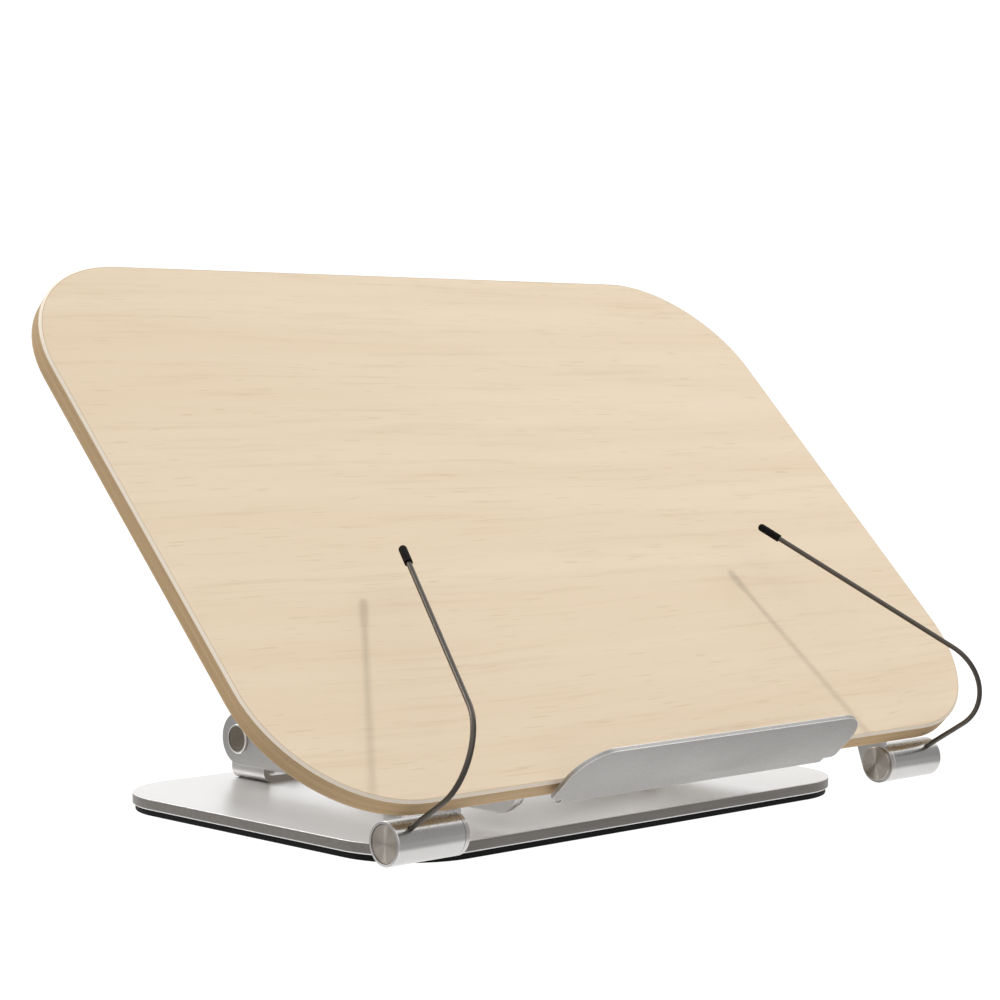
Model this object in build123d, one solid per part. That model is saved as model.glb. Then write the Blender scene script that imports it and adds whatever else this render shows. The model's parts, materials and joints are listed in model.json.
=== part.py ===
"""Book display stand: a veneered board on a folding two-stage hinge, a weighted base,
a bent book ledge and two sprung page clips.

Millimetres, +Z up. The stand faces -Y. The origin is the centre of the base's underside,
where the rubber mat meets the table.
"""
import os
from math import cos, radians, sin

from build123d import *

# Base
BASE_WIDTH = 226
BASE_DEPTH = 162
BASE_CORNER = 29
PLATE_THICK = 3.8
PLATE_BEVEL = 0.35
PLATE_EDGE_R = 0.2
MAT_THICK = 2.2
MAT_INSET = 1
MAT_EDGE_R = 0.3
BASE_TOP = MAT_THICK + PLATE_THICK

# Board, in its own axes: x across, v up the slope from its bottom edge, h out of its front
BOARD_WIDTH = 340
BOARD_HEIGHT = 231
BOARD_THICK = 7
BOARD_CORNER = 48
VENEER = 0.9
FRONT_CHAMFER = 0.8
BACK_CHAMFER = 0.4
TILT = 45.5

# Two-stage hinge: side links between a rear axis on the base and a front axis on the board
AXIS_HEIGHT = 21.2
REAR_AXIS_Y = 63.6
FRONT_AXIS_Y = -72.9
HINGE_V = 18.4
HINGE_H = -25.2
HINGE_DROP = -HINGE_H - BOARD_THICK
LINK_OUTER_X = 64.5
LINK_THICK = 2
LINK_END_R = 9.6
LINK_CHAMFER = 0.25
WASHER_THICK = 0.4
WASHER_R = 7
EAR_THICK = 2.5
EAR_R = 8.6
EAR_OUTER_X = LINK_OUTER_X - LINK_THICK - WASHER_THICK
EAR_INNER_X = EAR_OUTER_X - EAR_THICK
BEND_OUTER = 3.9
BEND_INNER = 1.4
RUNNING_GAP = 0.05

# Hinge pins, with a spring washer and a lock nut behind each ear
PIN_R = 3
PIN_HEAD_R = 5.4
PIN_HEAD_THICK = 0.8
PIN_HEAD_EDGE_R = 0.3
PIN_RIM = 0.7
PIN_DISH_DEPTH = 0.2
SPRING_WASHER_R = 5.5
SPRING_WASHER_THICK = 0.8
NUT_R = 5.6
NUT_THICK = 3
NUT_OUTER_X = -EAR_INNER_X + SPRING_WASHER_THICK
PIN_TAIL = 0.6
PIN_END_X = NUT_OUTER_X + NUT_THICK + PIN_TAIL

# Feet of the hinge brackets, on the base and on the board's back
FOOT_INNER_X = 40
FOOT_Y_START = 52
FOOT_Y_END = 70.5
FOOT_SHOULDER_Z = 13
BRACKET_V_START = 13
BRACKET_V_END = 55
BRACKET_SHOULDER_START = 5
BRACKET_SHOULDER_END = 6
BRACKET_NECK = 0.7  # how far out on the ear's round end its neck starts, in ear radii

# Cross bars between the links, and the pads that the links come down on
BAR_R = 4
BAR_CHAMFER = 0.4
BAR_HOLE_DEPTH = 9
BAR_SCREW_LENGTH = 9
BAR_YS = (-30, 20)
PAD_R = 3.2
PAD_EDGE_R = 0.8
PAD_Y = -20
PAD_GAP = 0.3

# Book ledge
LEDGE_THICK = 1.5
LEDGE_HALF = 70.2
LEDGE_FRONT_H = 18.4
LEDGE_REAR_H = -4.9
LEDGE_CORNER = 13.5
LEDGE_REAR_CORNER = 1.8
LEDGE_OUTER_V = -3.7
LEDGE_FLANGE_HALF = 64.5
LEDGE_FLANGE_TOP_V = 10.5
LEDGE_FLANGE_DEPTH = 4.1
LEDGE_BEND = 2

# Page clips
CLIP_INNER_X = 104.5
CLIP_OUTER_X = 133.2
CLIP_AXIS_V = -3.3
CLIP_AXIS_H = -15
CLIP_R = 7
CLIP_CHAMFER = 0.15
CLIP_BORE_R = 5.5
CLIP_SHEET = 1.5
CLIP_SIDE_GAP = 0.1
CLIP_CAP_R = 6.1
CLIP_CAP_THICK = 1
CLIP_CAP_INSET = 0.3
CLIP_CAP_CHAMFER = 0.2
CLIP_LEAF_OUTER_X = 130
CLIP_LEAF_START_V = 9
CLIP_LEAF_END_V = 27
CLIP_NECK_FRONT = (2.5, 6.54)  # where the ear's neck leaves its round end: (v, h) from the axis
CLIP_NECK_BACK = (2.8, -6.42)
CLIP_NECK_EDGE_V = 0.6
PIVOT_R = 2.5
PIVOT_SOCKET = 5
PLUG_X = 118
BARREL_X = CLIP_INNER_X + CLIP_SHEET + CLIP_SIDE_GAP

# Page wires: (x, v, h) of the start in the barrel, the corner and the tip
WIRE_R = 0.9
WIRE_HOLE_R = 0.97
WIRE_HOLE_LENGTH = 12
WIRE_START = (126.7, -2, -15)
WIRE_CORNER = (129.4, -13.1, 36.8)
WIRE_TIP = (88.2, 87.2, 13.9)
WIRE_BEND_R = 17.9

# Soft tips over the wires' ends
SLEEVE_R = 1.4
SLEEVE_BORE_R = 0.93
SLEEVE_LENGTH = 9
SLEEVE_END = 0.6
SLEEVE_TIP_R = 1.26

# Torsion spring in each clip
SPRING_MEAN_R = 4.1
SPRING_WIRE_R = 0.5
SPRING_PITCH = 1.2
SPRING_LENGTH = 7.2
SPRING_START = 1.2

# Fixings
SCREW_R = 1.5
SCREW_HEAD_R = 2.8
SCREW_HEAD_THICK = 1.4
SCREW_HEAD_EDGE_R = 0.8
SCREW_SOCKET_R = 1.1
SCREW_SOCKET_DEPTH = 0.8
WOOD_SCREW_LENGTH = 5
BASE_SCREW_LENGTH = 6
FIT_GAP = 0.05
CLEARANCE = 0.1
SPARE = 1  # how far a cutter runs past what it cuts

# Screws in one left-hand foot or leaf: (x, y) on the base, (x, v) on the board
BASE_SCREWS = [(-46, 56), (-46, 66.5), (-53, 61.2)]
BRACKET_SCREWS = [(-51, 21), (-51, 47), (-45, 34)]
CLIP_SCREWS = [(-112, 18), (-124, 18)]
LEDGE_SCREWS = [(x, 5.8) for x in (-54, -18, 18, 54)]

up_slope = Vector(0, cos(radians(TILT)), sin(radians(TILT)))
out_of_board = Vector(0, -sin(radians(TILT)), cos(radians(TILT)))
front_axis = Vector(0, FRONT_AXIS_Y, AXIS_HEIGHT)
board_edge = front_axis - up_slope * HINGE_V - out_of_board * HINGE_H
board_frame = Location(tuple(board_edge), (TILT, 0, 0))


def placed(shape, x, y, z):
    """The shape, moved by x, y and z."""
    return Pos(x, y, z) * shape


def mirrored(part):
    """The right-hand twin of a left-hand piece."""
    return mirror(part, about=Plane.YZ)


def both_sides(spots):
    """Each spot and its twin on the other side."""
    return [(side * x, y) for x, y in spots for side in (1, -1)]


def rounded_plate(width, depth, corner, thick):
    """A plate with rounded corners, its underside at z = 0."""
    return extrude(RectangleRounded(width, depth, corner), thick)


def across(outline, x_start, x_end):
    """Extrude an outline drawn in (y, z) from x_start to x_end."""
    return extrude(Plane.YZ.offset(x_start) * outline, x_end - x_start)


def disc(x_start, x_end, radius, y, z):
    """A cylinder lying along X."""
    return across(Pos(y, z) * Circle(radius), x_start, x_end)


def drilled(part, spots, gap, z, depth):
    """Drill screw holes from z to depth either side of it."""
    for x, y in spots:
        part -= placed(Cylinder(SCREW_R + gap, 2 * depth), x, y, z)
    return part


def cap_screw(length):
    """A button-head screw standing on z = 0 with its shank below."""
    head = extrude(Circle(SCREW_HEAD_R), SCREW_HEAD_THICK)
    head = fillet(head.edges().sort_by(Axis.Z)[-1], SCREW_HEAD_EDGE_R)
    socket = Pos(0, 0, SCREW_HEAD_THICK) * RegularPolygon(SCREW_SOCKET_R, 6)
    shank = extrude(Circle(SCREW_R), -length)
    return head - extrude(socket, -SCREW_SOCKET_DEPTH) + shank


def angle_outline(leg, height, thick, outer_r, inner_r):
    """The section of a bent sheet: legs along +X and +Y from a corner at the origin."""
    outline = Rectangle(leg, height, align=Align.MIN)
    outline -= Pos(thick, thick) * Rectangle(leg, height, align=Align.MIN)
    outline = fillet(outline.vertices().sort_by_distance((0, 0, 0))[0], outer_r)
    return fillet(outline.vertices().sort_by_distance((thick, thick, 0))[0], inner_r)


def hinge_sheet(height, start, end):
    """A bracket's bent sheet along Y: its foot along +X on z = 0, its ear side up at x = 0."""
    foot = EAR_OUTER_X - FOOT_INNER_X
    outline = angle_outline(foot, height, EAR_THICK, BEND_OUTER, BEND_INNER)
    return extrude(Plane.XZ.offset(-start) * outline, start - end)


# --- Base -------------------------------------------------------------------------------


def base_plate():
    plate = rounded_plate(BASE_WIDTH, BASE_DEPTH, BASE_CORNER, PLATE_THICK)
    plate = chamfer(plate.edges().group_by(Axis.Z)[0], PLATE_BEVEL)
    plate = fillet(plate.edges().group_by(Axis.Z)[-1], PLATE_EDGE_R)
    plate = placed(plate, 0, 0, MAT_THICK)
    return drilled(plate, both_sides(BASE_SCREWS), FIT_GAP, BASE_TOP, PLATE_THICK + SPARE)


def base_mat():
    width = BASE_WIDTH - 2 * MAT_INSET
    depth = BASE_DEPTH - 2 * MAT_INSET
    mat = rounded_plate(width, depth, BASE_CORNER - MAT_INSET, MAT_THICK)
    return fillet(mat.edges().group_by(Axis.Z)[0], MAT_EDGE_R)


def base_bracket():
    """Left foot bracket: an ear beside the link and a foot screwed to the base plate."""
    sheet = hinge_sheet(2 * AXIS_HEIGHT, FOOT_Y_START, FOOT_Y_END)
    sheet = placed(sheet, -EAR_OUTER_X, 0, BASE_TOP)
    side = Polyline(
        (FOOT_Y_START, BASE_TOP),
        (FOOT_Y_END, BASE_TOP),
        (FOOT_Y_END, AXIS_HEIGHT),
        (REAR_AXIS_Y - EAR_R, AXIS_HEIGHT),
        (FOOT_Y_START, FOOT_SHOULDER_Z),
        close=True,
    )
    side = make_face(side) + Pos(REAR_AXIS_Y, AXIS_HEIGHT) * Circle(EAR_R)
    bracket = sheet & across(side, -EAR_OUTER_X, -FOOT_INNER_X)
    bracket -= disc(-EAR_OUTER_X, -EAR_INNER_X, PIN_R + FIT_GAP, REAR_AXIS_Y, AXIS_HEIGHT)
    return drilled(bracket, BASE_SCREWS, CLEARANCE, BASE_TOP, EAR_THICK + SPARE)


def base_bracket_screws():
    screw = cap_screw(BASE_SCREW_LENGTH)
    spots = both_sides(BASE_SCREWS)
    return [placed(screw, x, y, BASE_TOP + EAR_THICK) for x, y in spots]


def link_pads():
    """Rubber stops under the links."""
    height = AXIS_HEIGHT - LINK_END_R - BASE_TOP - PAD_GAP
    pad = extrude(Circle(PAD_R), height)
    pad = fillet(pad.edges().sort_by(Axis.Z)[-1], PAD_EDGE_R)
    spots = both_sides([(LINK_OUTER_X - LINK_THICK / 2, PAD_Y)])
    return [placed(pad, x, y, BASE_TOP) for x, y in spots]


# --- Hinge hardware ---------------------------------------------------------------------


def hinge_pin(y):
    """Left pivot pin: its dished head shows outside the link, its tail holds the nut."""
    seat = -LINK_OUTER_X - RUNNING_GAP
    face = seat - PIN_HEAD_THICK
    head = disc(face, seat, PIN_HEAD_R, y, AXIS_HEIGHT)
    head = fillet(head.edges().sort_by(Axis.X)[0], PIN_HEAD_EDGE_R)
    dish = disc(face - SPARE, face + PIN_DISH_DEPTH, PIN_HEAD_R - PIN_RIM, y, AXIS_HEIGHT)
    return head - dish + disc(seat, PIN_END_X, PIN_R, y, AXIS_HEIGHT)


def pin_ring(x_start, x_end, radius, y):
    """A ring threaded on a hinge pin."""
    ring = disc(x_start, x_end, radius, y, AXIS_HEIGHT)
    return ring - disc(x_start, x_end, PIN_R + RUNNING_GAP, y, AXIS_HEIGHT)


def spring_washer(y):
    return pin_ring(-EAR_INNER_X, NUT_OUTER_X, SPRING_WASHER_R, y)


def friction_washer(y):
    """A plastic washer that fills the gap between link and ear, just clear of the ear."""
    return pin_ring(-LINK_OUTER_X + LINK_THICK, -EAR_OUTER_X - RUNNING_GAP, WASHER_R, y)


def lock_nut(y):
    inner = NUT_OUTER_X + NUT_THICK
    nut = across(Pos(y, AXIS_HEIGHT) * RegularPolygon(NUT_R, 6), NUT_OUTER_X, inner)
    return nut - disc(NUT_OUTER_X, inner, PIN_R + FIT_GAP, y, AXIS_HEIGHT)


# --- Links ------------------------------------------------------------------------------


def arm_link():
    """Left link: a flat bar with round ends on the two axes."""
    outer = -LINK_OUTER_X
    inner = outer + LINK_THICK
    span = REAR_AXIS_Y - FRONT_AXIS_Y
    outline = SlotCenterToCenter(span, 2 * LINK_END_R)
    link = across(Pos(REAR_AXIS_Y - span / 2, AXIS_HEIGHT) * outline, outer, inner)
    link = chamfer(link.faces().sort_by(Axis.X)[0].outer_wire().edges(), LINK_CHAMFER)
    for y in (REAR_AXIS_Y, FRONT_AXIS_Y):
        link -= disc(outer, inner, PIN_R + RUNNING_GAP, y, AXIS_HEIGHT)
    for y in BAR_YS:
        link -= disc(outer, inner, SCREW_R + FIT_GAP, y, AXIS_HEIGHT)
    return link


def cross_bar(y):
    """A round bar between the links, tapped at both ends."""
    half = LINK_OUTER_X - LINK_THICK
    bar = disc(-half, half, BAR_R, y, AXIS_HEIGHT)
    bar = chamfer(bar.edges().filter_by(GeomType.CIRCLE), BAR_CHAMFER)
    hole = disc(-half, BAR_HOLE_DEPTH - half, SCREW_R + FIT_GAP, y, AXIS_HEIGHT)
    return bar - hole - mirrored(hole)


def cross_bar_screws():
    screw = Rot(0, -90, 0) * cap_screw(BAR_SCREW_LENGTH)
    left = [placed(screw, -LINK_OUTER_X, y, AXIS_HEIGHT) for y in BAR_YS]
    return left + [mirrored(part) for part in left]


# --- Board, in its own axes -------------------------------------------------------------


def board_layer(h_bottom, h_top):
    """One layer of the board."""
    layer = rounded_plate(BOARD_WIDTH, BOARD_HEIGHT, BOARD_CORNER, h_top - h_bottom)
    return placed(layer, 0, BOARD_HEIGHT / 2, h_bottom)


def screwed(layer):
    """Drill a layer for every screw in the board's back."""
    spots = both_sides(BRACKET_SCREWS + CLIP_SCREWS) + LEDGE_SCREWS
    return drilled(layer, spots, FIT_GAP, -BOARD_THICK, WOOD_SCREW_LENGTH - SPARE)


def board_core():
    return screwed(board_layer(-BOARD_THICK + VENEER, -VENEER))


def board_back_veneer():
    layer = board_layer(-BOARD_THICK, -BOARD_THICK + VENEER)
    return screwed(chamfer(layer.edges().group_by(Axis.Z)[0], BACK_CHAMFER))


def board_front_veneer():
    layer = board_layer(-VENEER, 0)
    return chamfer(layer.edges().group_by(Axis.Z)[-1], FRONT_CHAMFER)


def board_bracket():
    """Left board bracket: an ear down to the front axis and a foot on the board's back."""
    sheet = hinge_sheet(HINGE_DROP + 2 * EAR_R, 0, BRACKET_V_END)
    side = Polyline(
        (BRACKET_V_START, 0),
        (BRACKET_V_END, 0),
        (BRACKET_V_END, BRACKET_SHOULDER_END),
        (HINGE_V + BRACKET_NECK * EAR_R, HINGE_DROP + BRACKET_NECK * EAR_R),
        (HINGE_V - EAR_R, HINGE_DROP),
        (BRACKET_V_START, BRACKET_SHOULDER_START),
        close=True,
    )
    side = make_face(side) + Pos(HINGE_V, HINGE_DROP) * Circle(EAR_R)
    bracket = sheet & across(side, 0, EAR_OUTER_X - FOOT_INNER_X)
    bracket -= disc(0, EAR_THICK, PIN_R + FIT_GAP, HINGE_V, HINGE_DROP)
    bracket = placed(mirror(bracket, about=Plane.XY), -EAR_OUTER_X, 0, -BOARD_THICK)
    return drilled(bracket, BRACKET_SCREWS, CLEARANCE, -BOARD_THICK, EAR_THICK + SPARE)


def back_screws(spots, sheet):
    """Screws driven into the board's back through a sheet."""
    screw = Rot(180, 0, 0) * cap_screw(WOOD_SCREW_LENGTH)
    return [placed(screw, x, v, -BOARD_THICK - sheet) for x, v in spots]


def ledge():
    """A rounded shelf under the book and a flange bent up behind the board."""
    depth = LEDGE_FRONT_H - LEDGE_REAR_H
    plan = RectangleRounded(2 * LEDGE_HALF, depth + 2 * LEDGE_CORNER, LEDGE_CORNER)
    plan = Pos(0, LEDGE_FRONT_H - depth / 2 - LEDGE_CORNER) * plan
    plan &= Pos(0, LEDGE_FRONT_H - depth / 2) * Rectangle(2 * LEDGE_HALF, depth)
    plan = fillet(plan.vertices().group_by(Axis.Y)[0], LEDGE_REAR_CORNER)
    shelf = extrude(Plane.XZ.offset(-LEDGE_OUTER_V - LEDGE_THICK) * plan, LEDGE_THICK)

    height = LEDGE_FLANGE_TOP_V - LEDGE_OUTER_V
    inner_r = LEDGE_BEND - LEDGE_THICK
    bend = angle_outline(height, LEDGE_FLANGE_DEPTH, LEDGE_THICK, LEDGE_BEND, inner_r)
    flange = across(bend, -LEDGE_FLANGE_HALF, LEDGE_FLANGE_HALF)
    flange = placed(flange, 0, LEDGE_OUTER_V, -BOARD_THICK - LEDGE_THICK)
    return drilled(shelf + flange, LEDGE_SCREWS, CLEARANCE, -BOARD_THICK, LEDGE_THICK + SPARE)


# --- Page clips, in the board's axes ----------------------------------------------------


def clip_disc(x_near, x_far, radius):
    """A left-hand disc on the clip's axis, given by its distances from the middle."""
    return disc(-x_far, -x_near, radius, CLIP_AXIS_V, CLIP_AXIS_H)


def clip_bracket():
    """Left clip bracket: a leaf on the board's back and a drop-shaped ear at its inner edge."""
    width = CLIP_LEAF_OUTER_X - CLIP_INNER_X
    height = CLIP_LEAF_END_V - CLIP_LEAF_START_V
    leaf = Box(width, height, CLIP_SHEET, align=Align.MIN)
    leaf_back = -BOARD_THICK - CLIP_SHEET
    leaf = placed(leaf, -CLIP_LEAF_OUTER_X, CLIP_LEAF_START_V, leaf_back)
    neck = Polyline(
        (CLIP_AXIS_V + CLIP_NECK_FRONT[0], CLIP_AXIS_H + CLIP_NECK_FRONT[1]),
        (CLIP_NECK_EDGE_V, -BOARD_THICK),
        (CLIP_LEAF_END_V, -BOARD_THICK),
        (CLIP_LEAF_END_V, leaf_back),
        (CLIP_AXIS_V + CLIP_NECK_BACK[0], CLIP_AXIS_H + CLIP_NECK_BACK[1]),
        (CLIP_AXIS_V, CLIP_AXIS_H),
        close=True,
    )
    drop = make_face(neck) + Pos(CLIP_AXIS_V, CLIP_AXIS_H) * Circle(CLIP_R)
    bracket = leaf + across(drop, -CLIP_INNER_X - CLIP_SHEET, -CLIP_INNER_X)
    bracket -= clip_disc(CLIP_INNER_X, CLIP_INNER_X + CLIP_SHEET, PIVOT_R + RUNNING_GAP)
    return drilled(bracket, CLIP_SCREWS, CLEARANCE, -BOARD_THICK, CLIP_SHEET + SPARE)


def wire_path():
    """The left wire's centre line: out of the barrel, round one bend, up over the page."""
    points = [(-x, v, h) for x, v, h in (WIRE_START, WIRE_CORNER, WIRE_TIP)]
    return FilletPolyline(*points, radius=WIRE_BEND_R)


def clip_wire():
    path = wire_path()
    return sweep((path ^ 0) * Circle(WIRE_R), path)


def wire_bore():
    """The hole that the wire stands in, along its first leg."""
    return extrude((wire_path() ^ 0) * Circle(WIRE_HOLE_R), WIRE_HOLE_LENGTH)


def clip_barrel():
    barrel = clip_disc(BARREL_X, CLIP_OUTER_X, CLIP_R)
    barrel = chamfer(barrel.edges().filter_by(GeomType.CIRCLE), CLIP_CHAMFER)
    barrel -= clip_disc(BARREL_X, CLIP_OUTER_X, CLIP_BORE_R)
    seat = CLIP_OUTER_X - CLIP_CAP_INSET - CLIP_CAP_THICK
    barrel -= clip_disc(seat, CLIP_OUTER_X, CLIP_CAP_R + FIT_GAP)
    return barrel - wire_bore()


def clip_plug():
    """The core that holds the wire and takes the pivot's end."""
    end = CLIP_OUTER_X - CLIP_CAP_INSET - CLIP_CAP_THICK - CLEARANCE
    plug = clip_disc(PLUG_X, end, CLIP_BORE_R - FIT_GAP)
    plug -= clip_disc(PLUG_X, PLUG_X + PIVOT_SOCKET, PIVOT_R + FIT_GAP)
    return plug - wire_bore()


def clip_end_cap():
    face = CLIP_OUTER_X - CLIP_CAP_INSET
    cap = clip_disc(face - CLIP_CAP_THICK, face, CLIP_CAP_R)
    return chamfer(cap.edges().sort_by(Axis.X)[0], CLIP_CAP_CHAMFER)


def clip_pivot():
    """The pivot: its head closes the inner end, its shank runs in the bracket's ear."""
    seat = CLIP_INNER_X - RUNNING_GAP
    head = clip_disc(seat - CLIP_CAP_THICK, seat, CLIP_CAP_R)
    head = chamfer(head.edges().sort_by(Axis.X)[-1], CLIP_CAP_CHAMFER)
    return head + clip_disc(seat, PLUG_X + PIVOT_SOCKET - CLEARANCE, PIVOT_R)


def clip_spring():
    """The torsion spring round the pivot, inside the barrel."""
    coil = Helix(SPRING_PITCH, SPRING_LENGTH, SPRING_MEAN_R)
    spring = Rot(0, -90, 0) * sweep((coil ^ 0) * Circle(SPRING_WIRE_R), coil)
    return placed(spring, -BARREL_X - SPRING_START, CLIP_AXIS_V, CLIP_AXIS_H)


def clip_sleeve():
    """The soft tip over the wire's end."""
    path = wire_path()
    end = path.position_at(1)
    along = path.tangent_at(1)
    start = Plane(origin=end - along * (SLEEVE_LENGTH - SLEEVE_END), z_dir=along)
    tube = extrude(start * Circle(SLEEVE_R), SLEEVE_LENGTH)
    rims = tube.edges().filter_by(GeomType.CIRCLE)
    tube = fillet(rims.sort_by_distance(end + along * SLEEVE_LENGTH)[0], SLEEVE_TIP_R)
    bore = extrude(start * Circle(SLEEVE_BORE_R), SLEEVE_LENGTH - SLEEVE_END + FIT_GAP)
    return tube - bore


# --- Pieces by node ---------------------------------------------------------------------


def left_hand_pieces():
    """Pieces with a mirrored right-hand twin."""
    pieces = {"base_bracket": base_bracket(), "arm_link": arm_link()}
    for place, y in (("rear", REAR_AXIS_Y), ("front", FRONT_AXIS_Y)):
        pieces[place + "_pin"] = hinge_pin(y)
        pieces[place + "_friction_washer"] = friction_washer(y)
        pieces[place + "_spring_washer"] = spring_washer(y)
        pieces[place + "_lock_nut"] = lock_nut(y)
    on_board = {
        "board_bracket": board_bracket(),
        "clip_bracket": clip_bracket(),
        "clip_barrel": clip_barrel(),
        "clip_plug": clip_plug(),
        "clip_end_cap": clip_end_cap(),
        "clip_pivot": clip_pivot(),
        "clip_spring": clip_spring(),
        "clip_wire": clip_wire(),
        "clip_sleeve": clip_sleeve(),
    }
    for name, part in on_board.items():
        pieces[name] = board_frame * part
    return pieces


def shared_pieces():
    """Pieces in the middle, and screws that come as a group."""
    pieces = {
        "base_plate": base_plate(),
        "base_mat": base_mat(),
        "base_bracket_screws": base_bracket_screws(),
        "link_pads": link_pads(),
        "cross_bar_front": cross_bar(BAR_YS[0]),
        "cross_bar_rear": cross_bar(BAR_YS[1]),
        "cross_bar_screws": cross_bar_screws(),
        "board_core": board_frame * board_core(),
        "board_back_veneer": board_frame * board_back_veneer(),
        "board_front_veneer": board_frame * board_front_veneer(),
        "ledge": board_frame * ledge(),
    }
    on_board = {
        "board_bracket_screws": back_screws(both_sides(BRACKET_SCREWS), EAR_THICK),
        "clip_bracket_screws": back_screws(both_sides(CLIP_SCREWS), CLIP_SHEET),
        "ledge_screws": back_screws(LEDGE_SCREWS, LEDGE_THICK),
    }
    for name, screws in on_board.items():
        pieces[name] = [board_frame * screw for screw in screws]
    return pieces


nodes = shared_pieces()
for name, part in left_hand_pieces().items():
    nodes[name + "_left"] = part
    nodes[name + "_right"] = mirrored(part)

os.makedirs("parts", exist_ok=True)
for name, piece in nodes.items():
    if isinstance(piece, list):
        piece = Compound(children=piece)
    export_step(piece, f"parts/{name}.step")
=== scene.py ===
"""Book display stand: finishes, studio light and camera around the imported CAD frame.

Metres, +Z up, the reader on the -Y side. Grain, scratches and bumps are given in millimetres.
Every visible piece is a CAD node, and each gets a procedural material that depends only on
where a point is and which way it faces, so nothing needs UVs.
"""
import json
import math

import bpy
from mathutils import Matrix, Vector


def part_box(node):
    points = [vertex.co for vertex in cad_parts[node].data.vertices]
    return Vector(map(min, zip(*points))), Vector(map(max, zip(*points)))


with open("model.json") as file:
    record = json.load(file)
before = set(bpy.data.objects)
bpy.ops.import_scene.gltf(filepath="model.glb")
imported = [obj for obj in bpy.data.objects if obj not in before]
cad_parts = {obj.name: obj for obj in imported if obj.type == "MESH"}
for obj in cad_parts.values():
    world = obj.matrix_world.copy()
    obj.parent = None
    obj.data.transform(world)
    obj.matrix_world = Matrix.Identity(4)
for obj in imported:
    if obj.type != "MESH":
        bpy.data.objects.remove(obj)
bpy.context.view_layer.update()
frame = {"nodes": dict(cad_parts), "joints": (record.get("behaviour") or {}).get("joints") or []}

nodes = frame["nodes"]
joints = {joint["name"]: joint for joint in frame["joints"]}
SIDES = ("left", "right")
AXLES = ("rear", "front")
MM = 0.001

# Board: it is level at its joint's lower limit, so that limit is how far it tilts at rest
TILT = math.radians(-joints["board_tilt"]["range_deg"][0])
BOARD_HEIGHT = 231 * MM
BOARD_CORNER = 48 * MM
BOARD_THICK = 7 * MM
PLY_LAYERS = 5
CHAMFER = 0.8 * MM
GLUE_LINE = 0.35 * MM

# Hinge pins: the dish in each head
PIN_DISH_R = 4.7 * MM

# Wear with a painted highlight along sharp edges, both making them paler: how wide it is, and the
# cosines between the true and the rounded surface where it starts and where it is full
WEAR_AND_HIGHLIGHT_WIDTH = 0.5 * MM
WEAR_AND_HIGHLIGHT_STARTS = 0.998
WEAR_AND_HIGHLIGHT_FULL = 0.90
BEVEL_SAMPLES = 6

# Windows on a noise, which stays mostly between 0.2 and 0.8
WIDE = (0.2, 0.8)
BROAD = (0.25, 0.75)
NARROW = (0.3, 0.7)

COAT_ROUGHNESS = 0.25


def middle(node):
    """The middle of a CAD node's box."""
    low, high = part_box(node)
    return (low + high) / 2


def pair(stem):
    """The names of a left-hand node and its right-hand twin."""
    return [f"{stem}_{side}" for side in SIDES]


def grey(level, warmth=0.012):
    """A slightly warm grey."""
    return (level + warmth, level, level - warmth, 1)


# --- Shader graphs ----------------------------------------------------------------------


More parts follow.
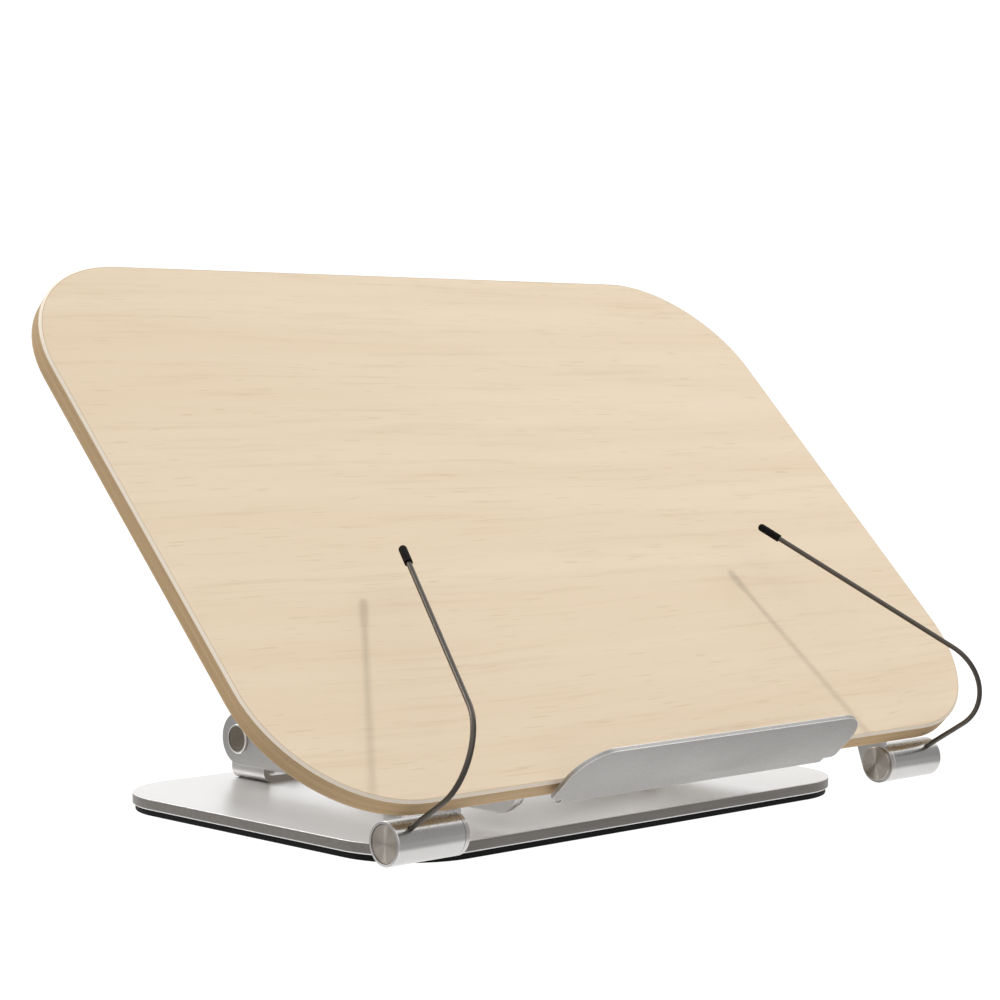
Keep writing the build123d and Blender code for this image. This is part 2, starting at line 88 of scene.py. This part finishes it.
class Graph:
    """A node tree, with one method for each kind of step."""

    def __init__(self, tree):
        self.tree = tree

    def add(self, kind, *inputs, **settings):
        """Add a node; each input is a value, a socket to link, or None to leave it."""
        node = self.tree.nodes.new(kind)
        for key, value in settings.items():
            setattr(node, key, value)
        for socket, value in zip(node.inputs, inputs):
            self.plug(socket, value)
        return node

    def plug(self, socket, value):
        """Link a socket to another, or set its value."""
        if isinstance(value, bpy.types.NodeSocket):
            self.tree.links.new(value, socket)
        elif value is not None:
            socket.default_value = value

    def math(self, operation, *inputs):
        """One step of arithmetic on numbers."""
        return self.add("ShaderNodeMath", *inputs, operation=operation).outputs[0]

    def vector(self, operation, *inputs):
        """One step of arithmetic on vectors."""
        step = self.add("ShaderNodeVectorMath", *inputs, operation=operation)
        scalar = operation in ("LENGTH", "DOT_PRODUCT")
        return step.outputs["Value" if scalar else "Vector"]

    def split(self, vector):
        """A vector's x, y and z."""
        return self.add("ShaderNodeSeparateXYZ", vector).outputs

    def join(self, x, y, z):
        """A vector from its x, y and z."""
        return self.add("ShaderNodeCombineXYZ", x, y, z).outputs[0]

    def place(self):
        """Where the point is, in the row frame at rest."""
        return self.add("ShaderNodeTexCoord").outputs["Object"]

    def facing(self):
        """Which way the surface faces, in the row frame at rest."""
        return self.add("ShaderNodeTexCoord").outputs["Normal"]

    def seen(self):
        """1 where the camera looks straight at the surface, 0 in reflections and bounces."""
        return self.add("ShaderNodeLightPath").outputs["Is Camera Ray"]

    def noise(self, place, size, detail=3, rough=0.5, seed=0.0):
        """Noise with blobs of this size in mm: one number, or one for each axis."""
        sizes = size if isinstance(size, tuple) else (size, size, size)
        scaled = self.vector("DIVIDE", place, [length * MM for length in sizes])
        moved = self.vector("ADD", scaled, (seed, 2 * seed, 3 * seed))
        node = self.add("ShaderNodeTexNoise")
        self.plug(node.inputs["Vector"], moved)
        node.inputs["Scale"].default_value = 1
        node.inputs["Detail"].default_value = detail
        node.inputs["Roughness"].default_value = rough
        return node.outputs["Fac"]

    def remap(self, value, low, high, to_low=0.0, to_high=1.0):
        """Map low..high to to_low..to_high, smoothly and clamped."""
        node = self.add("ShaderNodeMapRange", value, low, high, to_low, to_high)
        node.interpolation_type = "SMOOTHSTEP"
        return node.outputs["Result"]

    def mix(self, factor, first, second):
        """The first colour where factor is 0, the second where it is 1."""
        node = self.add("ShaderNodeMix", data_type="RGBA")
        self.plug(node.inputs["Factor"], factor)
        self.plug(node.inputs[6], first)
        self.plug(node.inputs[7], second)
        return node.outputs[2]

    def edge_wear_and_highlight(self):
        """1 along sharp edges, falling to 0 a little way in: the mask for rubbed edges and their
        painted highlight.
        """
        rounded = self.add("ShaderNodeBevel", WEAR_AND_HIGHLIGHT_WIDTH, samples=BEVEL_SAMPLES).outputs[0]
        normal = self.add("ShaderNodeNewGeometry").outputs["Normal"]
        alike = self.vector("DOT_PRODUCT", rounded, normal)
        return self.remap(alike, WEAR_AND_HIGHLIGHT_STARTS, WEAR_AND_HIGHLIGHT_FULL)


class Finish(Graph):
    """A material, built up in its node tree."""

    def __init__(self, name, metallic=0.0, anisotropic=0.0, coat=0.0, specular=0.5):
        self.material = bpy.data.materials.new(name)
        self.material.use_nodes = True
        super().__init__(self.material.node_tree)
        self.surface = self.tree.nodes["Principled BSDF"]
        self.surface.inputs["Metallic"].default_value = metallic
        self.surface.inputs["Anisotropic"].default_value = anisotropic
        self.surface.inputs["Coat Weight"].default_value = coat
        self.surface.inputs["Coat Roughness"].default_value = COAT_ROUGHNESS
        self.surface.inputs["Specular IOR Level"].default_value = specular

    def done(self, colour, roughness, height=None, depth=0.0):
        """Plug the results in; depth is the bumps' full height in mm."""
        self.plug(self.surface.inputs["Base Color"], colour)
        self.plug(self.surface.inputs["Roughness"], roughness)
        if height is not None:
            bump = self.add("ShaderNodeBump")
            bump.inputs["Distance"].default_value = depth * MM
            self.plug(bump.inputs["Height"], height)
            self.plug(self.surface.inputs["Normal"], bump.outputs[0])
        return self.material


def use(material, *names):
    """Give CAD nodes a material."""
    for name in names:
        nodes[name].data.materials.clear()
        nodes[name].data.materials.append(material)


# --- Wood -------------------------------------------------------------------------------

MAPLE_LIGHT = (0.745, 0.612, 0.445, 1)
MAPLE_MIDDLE = (0.715, 0.573, 0.405, 1)
MAPLE_DARK = (0.600, 0.450, 0.300, 1)
MAPLE_EDGE = (0.860, 0.760, 0.630, 1)
GLUE = (0.330, 0.235, 0.150, 1)
PLY_LIGHT = (0.560, 0.395, 0.225, 1)
PLY_DARK = (0.470, 0.315, 0.165, 1)

# Maple: how far the grain wanders off straight
GRAIN_WANDER = 7 * MM
# Its darker layers: the window of the noise that shows, and how strongly it shows at each end
STREAKS = (0.50, 0.78, 0, 0.38)
FIBRES = (0.45, 0.85, 0, 0.14)
DASHES = (0.66, 0.76, 0, 0.50)
GLUE_LINE_SHOWS = 0.55
MAPLE_ROUGHNESS = (0.46, 0.60)
FIBRE_RELIEF = 0.7
STREAK_RELIEF = 0.3

# Plywood: how strongly the end grain, the crossed layers and the joints between them show
END_GRAIN = (0.45, 0.75)
END_GRAIN_SHOWS = 0.35
CROSSED_SHOWS = 0.12
JOINTS_SHOW = 0.30
# A joint's half-width, as a part of a layer
JOINT_WIDTH = 0.06
PLY_ROUGHNESS = (0.62, 0.74)


def board_place(graph, origin):
    """Place in the board's own axes: x across, y up the slope, z out of its front."""
    moved = graph.vector("SUBTRACT", graph.place(), origin)
    turned_back = graph.add("ShaderNodeVectorRotate", moved, rotation_type="X_AXIS")
    turned_back.inputs["Angle"].default_value = -TILT
    return turned_back.outputs[0]


def inside_outline(graph, place):
    """How far a point lies inside the board's rounded outline."""
    low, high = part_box("board_core")
    half_width = (high.x - low.x) / 2
    core = Vector((half_width - BOARD_CORNER, BOARD_HEIGHT / 2 - BOARD_CORNER, 0))
    beyond = graph.vector("SUBTRACT", graph.vector("ABSOLUTE", place), core)
    x, y, _ = graph.split(graph.vector("MAXIMUM", beyond, (0, 0, 0)))
    corner = graph.vector("LENGTH", graph.join(x, y, 0))
    return graph.math("SUBTRACT", BOARD_CORNER, corner)


def maple(name, node, edge_tint):
    """Pale straight-grained veneer with a satin lacquer, a tinted chamfer and a glue line."""
    graph = Finish(name, coat=0.12, specular=0.35)
    place = board_place(graph, middle(node))
    drift = graph.noise(place, (220, 50, 50), detail=2, seed=3.1)
    drift = graph.math("MULTIPLY_ADD", drift, 2 * GRAIN_WANDER, -GRAIN_WANDER)
    x, y, z = graph.split(place)
    bent = graph.join(x, graph.math("ADD", y, drift), z)

    figure = graph.noise(bent, (450, 16, 16), seed=1.7)
    streaks = graph.noise(bent, (60, 2.2, 2.2), rough=0.6, seed=5.3)
    fibres = graph.noise(bent, (18, 0.35, 0.35), detail=2, rough=0.6, seed=2.4)
    dashes = graph.noise(bent, (16, 0.9, 0.9), detail=1, seed=8.6)

    colour = graph.mix(graph.remap(figure, *NARROW), MAPLE_LIGHT, MAPLE_MIDDLE)
    for layer, shows in ((streaks, STREAKS), (fibres, FIBRES), (dashes, DASHES)):
        colour = graph.mix(graph.remap(layer, *shows), colour, MAPLE_DARK)

    inside = inside_outline(graph, place)
    rim = graph.remap(inside, CHAMFER, 0.9 * CHAMFER)
    colour = graph.mix(rim, colour, edge_tint)
    starts = graph.remap(inside, CHAMFER, 1.2 * CHAMFER)
    ends = graph.remap(inside, CHAMFER + GLUE_LINE, CHAMFER + 0.6 * GLUE_LINE)
    line = graph.math("MULTIPLY", starts, ends)
    colour = graph.mix(graph.math("MULTIPLY", line, GLUE_LINE_SHOWS), colour, GLUE)

    roughness = graph.remap(streaks, *WIDE, *MAPLE_ROUGHNESS)
    relief = graph.math("MULTIPLY", streaks, STREAK_RELIEF)
    relief = graph.math("MULTIPLY_ADD", fibres, FIBRE_RELIEF, relief)
    return graph.done(colour, roughness, relief, depth=0.05)


def plywood():
    """The board's sanded edge: thin layers whose grain runs across each other."""
    graph = Finish("plywood", specular=0.3)
    place = board_place(graph, middle("board_core"))
    _, _, out = graph.split(place)
    layer = graph.math("MULTIPLY_ADD", out, PLY_LAYERS / BOARD_THICK, PLY_LAYERS / 2)
    halved = graph.math("MULTIPLY", graph.math("FLOOR", layer), 0.5)
    crossed = graph.math("GREATER_THAN", graph.math("FRACT", halved), 0.25)
    long_grain = graph.noise(place, (50, 50, 0.4), seed=4.2)
    end_grain = graph.noise(place, (1.2, 1.2, 0.7), seed=6.1)

    colour = graph.mix(graph.remap(long_grain, *BROAD), PLY_LIGHT, PLY_DARK)
    speckle = graph.math("MULTIPLY", graph.remap(end_grain, *END_GRAIN), crossed)
    colour = graph.mix(graph.math("MULTIPLY", speckle, END_GRAIN_SHOWS), colour, GLUE)
    colour = graph.mix(graph.math("MULTIPLY", crossed, CROSSED_SHOWS), colour, PLY_DARK)
    from_joint = graph.math("PINGPONG", graph.math("FRACT", layer), 0.5)
    joint = graph.remap(from_joint, JOINT_WIDTH, 0)
    colour = graph.mix(graph.math("MULTIPLY", joint, JOINTS_SHOW), colour, GLUE)

    roughness = graph.remap(long_grain, *WIDE, *PLY_ROUGHNESS)
    return graph.done(colour, roughness, end_grain, depth=0.04)


# --- Metal ------------------------------------------------------------------------------

# Pale colours for sharp edges: partly wear, partly a painted highlight
WORN_AND_HIGHLIT_METAL = grey(0.86, 0.004)
WORN_AND_HIGHLIT_LACQUER = grey(0.88, 0.004)
LACQUER_LIGHT = grey(0.82, 0.004)
LACQUER_MIDDLE = grey(0.79, 0.004)
LACQUER_DULL = grey(0.74, 0.004)
# Upright sides of the base plate: partly bare sawn steel, partly painted shade
SAWN_AND_SHADED_DARK = grey(0.150)
SAWN_AND_SHADED_LIGHT = grey(0.175)
STAIN = grey(0.10, 0.020)
PIN_FACE = (0.185, 0.160, 0.120, 1)
PIN_RIM = grey(0.80)
PIN_GROOVE = grey(0.40)
CAP_FACE = (0.440, 0.400, 0.355, 1)
CAP_GROOVE = grey(0.31)

# Brushed metal: how dark clouds and scratches make it, and how smooth or rough wear and
# scratches do
CLOUD_DULLS = 0.93
SCRATCH_DULLS = 0.55
WEAR_SMOOTHS = 0.10
SCRATCH_SMOOTHS = 0.05
SCRATCH_ROUGHENS = 0.06

# Base plate: how strongly its clouds and worn edges with their painted highlight show, how level a
# surface is where the sawn side with its painted shade starts and is full, and how much rougher
# that side is
LACQUER_CLOUDS_SHOW = 0.15
LACQUER_WEAR_AND_HIGHLIGHT_SHOWS = 0.55
SAWN_AND_SHADED_SIDE = (0.35, 0.05)
SAWN_ROUGHER = 0.08
LACQUER_ROUGHNESS = (0.32, 0.37)

# Turned faces: the angle of their sheen in turns, how strongly stains show, and the window of
# the rings' noise with how strongly it shows at each end
SHEEN_TURN = 0.25
STAINS_SHOW = 0.08
RINGS = (0.40, 0.75, 0, 0.22)


def scratched(graph, scratches, roughness):
    """Roughness that goes a little up and down with the scratches."""
    smooth = roughness - SCRATCH_SMOOTHS
    rough = roughness + SCRATCH_ROUGHENS
    return graph.remap(scratches, *WIDE, smooth, rough)


def brushed(name, level, along, roughness, contrast=0.10, wear_and_highlight_strength=0.64, depth=0.006):
    """Satin metal with fine scratches. along is a scratch's size in mm on each axis."""
    graph = Finish(name, metallic=1, anisotropic=0.35)
    place = graph.place()
    scratches = graph.noise(place, along, detail=2, rough=0.65, seed=7.7)
    cloud = graph.noise(place, 30, seed=1.3)
    edge_wear_and_highlight = graph.edge_wear_and_highlight()

    colour = graph.mix(graph.remap(cloud, *BROAD), grey(level), grey(level * CLOUD_DULLS))
    fine = graph.remap(scratches, *BROAD, 0, contrast)
    colour = graph.mix(fine, colour, grey(level * SCRATCH_DULLS))
    # Sharp edges turn paler: partly wear, partly a painted highlight
    colour = graph.mix(graph.math("MULTIPLY", edge_wear_and_highlight, wear_and_highlight_strength), colour, WORN_AND_HIGHLIT_METAL)

    rough = scratched(graph, scratches, roughness)
    rough = graph.math("MULTIPLY_ADD", edge_wear_and_highlight, -WEAR_SMOOTHS, rough)
    return graph.done(colour, rough, scratches, depth)


def base_lacquer():
    """Satin silver lacquer on the base plate: pale on top and on the lower chamfer, which paints a
    highlight there; dark grey on the upright sides, partly bare saw-cut steel and partly painted
    shade.
    """
    graph = Finish("base_lacquer", metallic=0.75)
    place = graph.place()
    flakes = graph.noise(place, 0.5, detail=2, seed=2.2)
    cloud = graph.noise(place, 60, detail=4, seed=9.4)
    rub = graph.noise(place, (30, 1.2, 1.2), seed=3.3)
    # Upright sides get dark grey, partly sawn steel and partly painted shade; faces pointing up or
    # down keep the pale top colour, which paints a highlight along the lower chamfer
    _, _, up = graph.split(graph.facing())
    side = graph.remap(graph.math("ABSOLUTE", up), *SAWN_AND_SHADED_SIDE)

    top = graph.mix(graph.remap(flakes, *NARROW), LACQUER_LIGHT, LACQUER_MIDDLE)
    top = graph.mix(graph.remap(cloud, *NARROW, 0, LACQUER_CLOUDS_SHOW), top, LACQUER_DULL)
    sawn_and_shaded = graph.mix(graph.remap(rub, *NARROW), SAWN_AND_SHADED_DARK, SAWN_AND_SHADED_LIGHT)
    colour = graph.mix(side, top, sawn_and_shaded)
    # Sharp edges turn paler: partly wear, partly a painted highlight
    wear_and_highlight_strength = graph.math("MULTIPLY", graph.edge_wear_and_highlight(), LACQUER_WEAR_AND_HIGHLIGHT_SHOWS)
    colour = graph.mix(wear_and_highlight_strength, colour, WORN_AND_HIGHLIT_LACQUER)

    rough = graph.remap(cloud, *BROAD, *LACQUER_ROUGHNESS)
    rough = graph.math("MULTIPLY_ADD", side, SAWN_ROUGHER, rough)
    return graph.done(colour, rough, flakes, depth=0.002)


def turned(name, node, face, groove, roughness, anisotropic, rim=None):
    """A lathe-turned face with rings round its node's middle; a rim colour means it is dished."""
    graph = Finish(name, metallic=1, anisotropic=anisotropic)
    tangent = graph.add("ShaderNodeTangent", direction_type="RADIAL", axis="X")
    graph.plug(graph.surface.inputs["Tangent"], tangent.outputs[0])
    graph.surface.inputs["Anisotropic Rotation"].default_value = SHEEN_TURN
    _, y, z = graph.split(graph.vector("SUBTRACT", graph.place(), middle(node)))
    radius = graph.vector("LENGTH", graph.join(0, y, z))
    rings = graph.noise(graph.join(radius, 0, 0), 0.12, detail=2, seed=5.9)
    cloud = graph.noise(graph.place(), 4, seed=4.8)
    stain = graph.remap(cloud, *NARROW, 0, STAINS_SHOW)

    colour = graph.mix(stain, face, STAIN)
    if rim:
        beyond_dish = graph.remap(radius, 0.98 * PIN_DISH_R, 1.02 * PIN_DISH_R)
        colour = graph.mix(beyond_dish, colour, graph.mix(stain, rim, groove))
    colour = graph.mix(graph.remap(rings, *RINGS), colour, groove)
    return graph.done(colour, scratched(graph, rings, roughness), rings, depth=0.001)


# --- Rubber and plastic -----------------------------------------------------------------

DUST = grey(0.20, 0.004)
# The window of the dust's noise that shows, and how strongly it shows at each end
DUSTY = (0.55, 0.85, 0, 0.05)
DUST_ROUGHENS = 0.12
GRAIN_LIGHTENS = 1.6


def moulded(name, level, grain, roughness, depth):
    """Black moulded rubber or plastic with a fine grain and a little dust."""
    graph = Finish(name, specular=0.12)
    place = graph.place()
    fine = graph.noise(place, grain, seed=3.9)
    dust = graph.noise(place, 12, detail=5, rough=0.6, seed=6.6)
    lighter = grey(level * GRAIN_LIGHTENS, 0)
    colour = graph.mix(graph.remap(fine, *NARROW), grey(level, 0), lighter)
    colour = graph.mix(graph.remap(dust, *DUSTY), colour, DUST)
    rough = graph.remap(dust, 0.3, 0.8, roughness, roughness + DUST_ROUGHENS)
    return graph.done(colour, rough, fine, depth)


# --- Finishes by node -------------------------------------------------------------------


def dress_board():
    """Maple faces on a plywood core."""
    use(maple("maple_front", "board_front_veneer", MAPLE_EDGE), "board_front_veneer")
    use(maple("maple_back", "board_back_veneer", PLY_LIGHT), "board_back_veneer")
    use(plywood(), "board_core")


def dress_rubber_and_plastic():
    """Black mat, pads and clip tips, and the plastic washers in the hinges."""
    rubber = moulded("rubber", level=0.002, grain=0.5, roughness=0.62, depth=0.04)
    use(rubber, "base_mat", "link_pads", *pair("clip_sleeve"))
    acetal = moulded("acetal", level=0.030, grain=0.2, roughness=0.40, depth=0.01)
    for axle in AXLES:
        use(acetal, *pair(f"{axle}_friction_washer"))


def dress_hinges():
    """Base plate, brackets, links, cross bars and the pins' heads."""
    use(base_lacquer(), "base_plate")
    hinge = brushed("hinge_steel", level=0.50, along=(40, 6, 0.3), roughness=0.36)
    use(hinge, *pair("base_bracket"), *pair("board_bracket"))
    link = brushed("link_steel", level=0.48, along=(0.3, 30, 0.3), roughness=0.34)
    use(link, *pair("arm_link"))
    bar = brushed("bar_steel", level=0.55, along=(0.2, 10, 10), roughness=0.30)
    use(bar, "cross_bar_front", "cross_bar_rear")
    for axle in AXLES:
        name = f"{axle}_pin_face"
        node = f"{axle}_pin_left"
        pin = turned(name, node, PIN_FACE, PIN_GROOVE, roughness=0.26, anisotropic=0.5, rim=PIN_RIM)
        use(pin, *pair(f"{axle}_pin"))


def dress_ledge():
    """The shelf under the book, in fine bead-blasted steel."""
    shelf = brushed("ledge_steel", level=0.38, along=0.8, roughness=0.42, contrast=0.06)
    use(shelf, "ledge")


def dress_clips():
    """Brackets, lathed barrels with turned caps, and the dark spring wire."""
    bracket = brushed("clip_bracket_steel", level=0.60, along=(0.3, 8, 8), roughness=0.36)
    use(bracket, *pair("clip_bracket"))
    lathed = (0.25, 12, 12)
    barrel = brushed(
        "barrel_aluminium", level=0.58, along=lathed, roughness=0.26, contrast=0.03, depth=0.0008
    )
    use(barrel, *pair("clip_barrel"), *pair("clip_plug"))
    wire = brushed("wire_steel", level=0.10, along=4, roughness=0.34, contrast=0.2, wear_and_highlight_strength=0)
    use(wire, *pair("clip_wire"), *pair("clip_spring"))
    cap = turned(
        "cap_face", "clip_end_cap_left", CAP_FACE, CAP_GROOVE, roughness=0.36, anisotropic=0.97
    )
    use(cap, *pair("clip_end_cap"), *pair("clip_pivot"))


def dress_fasteners():
    """Zinc-plated screws, nuts and spring washers."""
    zinc = brushed("zinc_plate", level=0.60, along=1, roughness=0.28, contrast=0.12)
    use(zinc, "base_bracket_screws", "cross_bar_screws", "board_bracket_screws")
    use(zinc, "ledge_screws", "clip_bracket_screws")
    for axle in AXLES:
        use(zinc, *pair(f"{axle}_lock_nut"), *pair(f"{axle}_spring_washer"))


# --- Studio -----------------------------------------------------------------------------

WHITE = (1, 1, 1, 1)

# Floor: the light it gives back under the stand and further off, and the patch under the
# stand, as the half-sizes where it ends and where it is full
FLOOR_HALF = 6.0
FLOOR_LIGHT = grey(0.12, 0)
FLOOR_DARK = grey(0.11, 0)
FLOOR_ROUGHNESS = 0.8
BOUNCE_NEAR = 1.0
BOUNCE_FAR = 0.35
PATCH_ACROSS = (0.17, 0.15)
PATCH_ALONG = (0.125, 0.113)

# Key light, from the right and above
KEY_DIRECTION = (0.62, -0.17, 0.77)
KEY_TARGET = (0, 0, 0.1)
KEY_DISTANCE = 4.0
KEY_SIZE = 0.25
KEY_POWER = 56

# Pale walls for the metal to mirror: direction, how far each spreads (1 is a half turn)
# and brightness
AMBIENT = 0.18
WALLS = {
    "behind_right": ((0.69, 0.72, 0.00), 0.50, 0.95),
    "above_left": ((-0.60, -0.10, 0.80), 0.45, 0.90),
    "front": ((0.10, -0.95, 0.10), 0.40, 0.30),
    "above_right": ((0.65, -0.10, 0.75), 0.12, 1.80),
    "above_behind": ((-0.39, 0.70, 0.60), 0.09, 6.00),
}

# Camera
CAMERA_PLACE = (-0.6424, -0.6784, 0.1560)
CAMERA_HEADING = math.radians(43.68)
CAMERA_PITCH = math.radians(-2.92)
CAMERA_ROLL = math.radians(0.23)
CAMERA_LENS = 93.46
CAMERA_SENSOR = 36


def studio_floor():
    """A plain pale floor. It looks white all over, and bounces most light near the stand."""
    half = FLOOR_HALF
    corners = [(-half, -half, 0), (half, -half, 0), (half, half, 0), (-half, half, 0)]
    mesh = bpy.data.meshes.new("studio_floor")
    mesh.from_pydata(corners, [], [(0, 1, 2, 3)])
    floor = bpy.data.objects.new("studio_floor", mesh)
    bpy.context.scene.collection.objects.link(floor)

    graph = Finish("pale_floor", specular=0.1)
    place = graph.place()
    x, y, _ = graph.split(graph.vector("ABSOLUTE", place))
    near = graph.math("MULTIPLY", graph.remap(x, *PATCH_ACROSS), graph.remap(y, *PATCH_ALONG))
    bounce = graph.math("MULTIPLY_ADD", near, BOUNCE_NEAR - BOUNCE_FAR, BOUNCE_FAR)
    glow = graph.math("MAXIMUM", bounce, graph.seen())
    graph.plug(graph.surface.inputs["Emission Color"], WHITE)
    graph.plug(graph.surface.inputs["Emission Strength"], glow)
    cloud = graph.noise(place, 500, detail=2)
    colour = graph.mix(graph.remap(cloud, *WIDE), FLOOR_LIGHT, FLOOR_DARK)
    mesh.materials.append(graph.done(colour, FLOOR_ROUGHNESS))


def studio_walls():
    """Surroundings with bright walls for the metal to mirror, and a plain white backdrop."""
    world = bpy.data.worlds.new("studio")
    world.use_nodes = True
    graph = Graph(world.node_tree)
    towards = graph.add("ShaderNodeTexCoord").outputs["Generated"]
    total = AMBIENT
    for direction, spread, brightness in WALLS.values():
        alike = graph.vector("DOT_PRODUCT", towards, Vector(direction).normalized())
        wall = graph.remap(alike, math.cos(math.pi * spread), 1, 0, brightness)
        total = graph.math("ADD", total, wall)
    background = graph.tree.nodes["Background"]
    graph.plug(background.inputs["Color"], WHITE)
    graph.plug(background.inputs["Strength"], graph.math("MAXIMUM", total, graph.seen()))
    bpy.context.scene.world = world


def key_light():
    """A small, far light for one soft shadow of each wire. The metal doesn't mirror it."""
    light = bpy.data.lights.new("key", "AREA")
    light.size = KEY_SIZE
    light.energy = KEY_POWER
    direction = Vector(KEY_DIRECTION)
    lamp = bpy.data.objects.new("key", light)
    lamp.location = Vector(KEY_TARGET) + direction.normalized() * KEY_DISTANCE
    lamp.rotation_euler = direction.to_track_quat("Z", "Y").to_euler()
    lamp.visible_glossy = False
    bpy.context.scene.collection.objects.link(lamp)


def camera():
    """Low and to the left of the reader, turned to the stand."""
    data = bpy.data.cameras.new("camera")
    data.lens = CAMERA_LENS
    data.sensor_width = CAMERA_SENSOR
    eye = bpy.data.objects.new("camera", data)
    turn = Matrix.Rotation(-CAMERA_HEADING, 4, "Z")
    nod = Matrix.Rotation(math.pi / 2 + CAMERA_PITCH, 4, "X")
    roll = Matrix.Rotation(CAMERA_ROLL, 4, "Z")
    eye.matrix_world = Matrix.Translation(CAMERA_PLACE) @ turn @ nod @ roll
    bpy.context.scene.collection.objects.link(eye)
    bpy.context.scene.camera = eye


dress_board()
dress_rubber_and_plastic()
dress_hinges()
dress_ledge()
dress_clips()
dress_fasteners()
studio_floor()
studio_walls()
key_light()
camera()
bpy.context.scene.view_settings.view_transform = "Standard"
